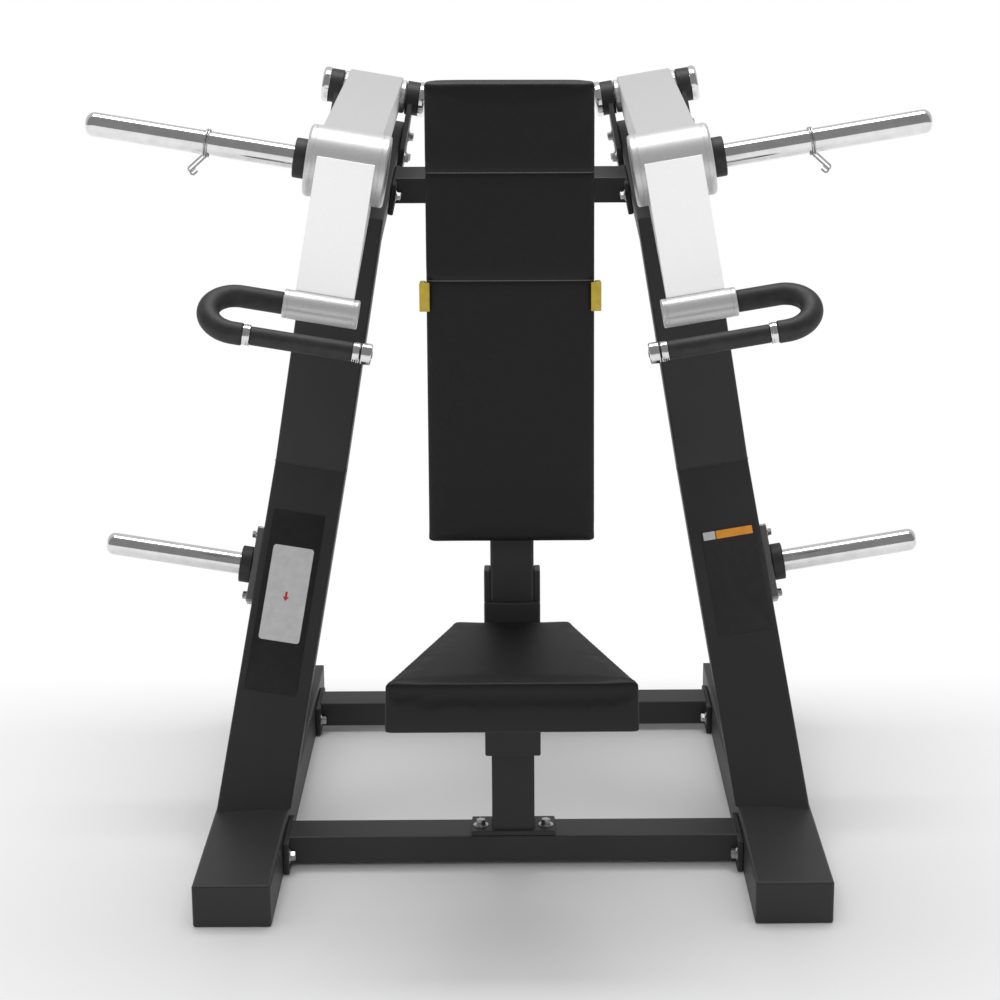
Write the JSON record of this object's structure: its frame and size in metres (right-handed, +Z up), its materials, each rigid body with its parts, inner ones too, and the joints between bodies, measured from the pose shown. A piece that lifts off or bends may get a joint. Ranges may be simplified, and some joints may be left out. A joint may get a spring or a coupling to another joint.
{
  "type": "shoulder press machine",
  "caption": "Plate-loaded shoulder press with leaning side frames, hinged press arms, bent handles, weight horns, a tapered adjustable seat and a tall back pad.",
  "frame": {"origin": "on the floor, in the machine's mid-plane, at the middle of its depth", "axes": "+Z up, -Y towards the seat's front, +X to the right as seen from the front"},
  "size_m": [1.8386, 1.5436, 1.6934],
  "materials": {
    "frame_coat": "matte charcoal powder coat, fine texture",
    "arm_silver": "silver metallic paint with fine sparkle",
    "chrome": "polished",
    "zinc": "bright zinc plate",
    "bearing_steel": "ground steel",
    "rubber": "matte black",
    "vinyl": "matte black vinyl, fine grain",
    "board": "moulded black cover over plywood",
    "yellow_plastic": "satin yellow"
  },
  "bodies": {
    "frame": {"left_base_rail": "frame_coat", "left_front_post": "frame_coat", "left_rear_post": "frame_coat", "left_top_rail": "frame_coat", "left_pivot_bracket_inner": "frame_coat", "left_pivot_bracket_outer": "frame_coat", "left_bearing_inner": "bearing_steel", "left_bearing_outer": "bearing_steel", "left_bearing_cap_inner": "chrome", "left_bearing_cap_outer": "chrome", "left_storage_horn": "chrome", "left_storage_bumper": "rubber", "left_arm_stop": "rubber", "right_base_rail": "frame_coat", "right_front_post": "frame_coat", "right_rear_post": "frame_coat", "right_top_rail": "frame_coat", "right_pivot_bracket_inner": "frame_coat", "right_pivot_bracket_outer": "frame_coat", "right_bearing_inner": "bearing_steel", "right_bearing_outer": "bearing_steel", "right_bearing_cap_inner": "chrome", "right_bearing_cap_outer": "chrome", "right_storage_horn": "chrome", "right_storage_bumper": "rubber", "right_arm_stop": "rubber", "front_cross_bar": "frame_coat", "rear_cross_bar": "frame_coat", "top_cross_beam": "frame_coat", "seat_column": "frame_coat", "back_pad": "vinyl", "back_board": "board"},
    "left_arm": {"left_arm_beam": "arm_silver", "left_pivot_shaft": "zinc", "left_arm_housing": "arm_silver", "left_drop_tube": "arm_silver", "left_handle_sleeve": "arm_silver", "left_handle_bar": "rubber", "left_hand_grip": "rubber", "left_handle_end_cap": "chrome", "left_weight_horn": "chrome", "left_horn_bumper": "rubber"},
    "right_arm": {"right_arm_beam": "arm_silver", "right_pivot_shaft": "zinc", "right_arm_housing": "arm_silver", "right_drop_tube": "arm_silver", "right_handle_sleeve": "arm_silver", "right_handle_bar": "rubber", "right_hand_grip": "rubber", "right_handle_end_cap": "chrome", "right_weight_horn": "chrome", "right_horn_bumper": "rubber"},
    "left_clip": {"left_spring_clip": "zinc"},
    "right_clip": {"right_spring_clip": "zinc"},
    "seat": {"seat_carriage": "frame_coat", "seat_frame": "frame_coat", "seat_pad": "vinyl"},
    "seat_pin": {"seat_pin": "zinc"},
    "lever": {"adjust_lever": "yellow_plastic"}
  },
  "joints": [
    {"name": "left_arm_pivot", "type": "hinge", "parent": "frame", "child": "left_arm", "pos_m": [-0.32263, 0.562, 1.601], "axis": [-0.9862, 0, 0.1657], "range_deg": [0, 45]},
    {"name": "right_arm_pivot", "type": "hinge", "parent": "frame", "child": "right_arm", "pos_m": [0.32263, 0.562, 1.601], "axis": [-0.9862, 0, -0.1657], "range_deg": [0, 45]},
    {"name": "left_clip_slide", "type": "slide", "parent": "left_arm", "child": "left_clip", "axis": [-0.9862, 0, 0.1657], "range_m": [-0.16, 0.21]},
    {"name": "right_clip_slide", "type": "slide", "parent": "right_arm", "child": "right_clip", "axis": [0.9862, 0, 0.1657], "range_m": [-0.16, 0.21]},
    {"name": "seat_height", "type": "slide", "parent": "frame", "child": "seat", "axis": [0, 0.0698, 0.9976], "range_m": [-0.12, 0.06]},
    {"name": "seat_pin_pull", "type": "slide", "parent": "seat", "child": "seat_pin", "axis": [1, 0, 0], "range_m": [0, 0.01]},
    {"name": "lever_lift", "type": "hinge", "parent": "frame", "child": "lever", "pos_m": [0, -0.15635, 1.24985], "axis": [-1, 0, 0], "range_deg": [0, 8]}
  ]
}
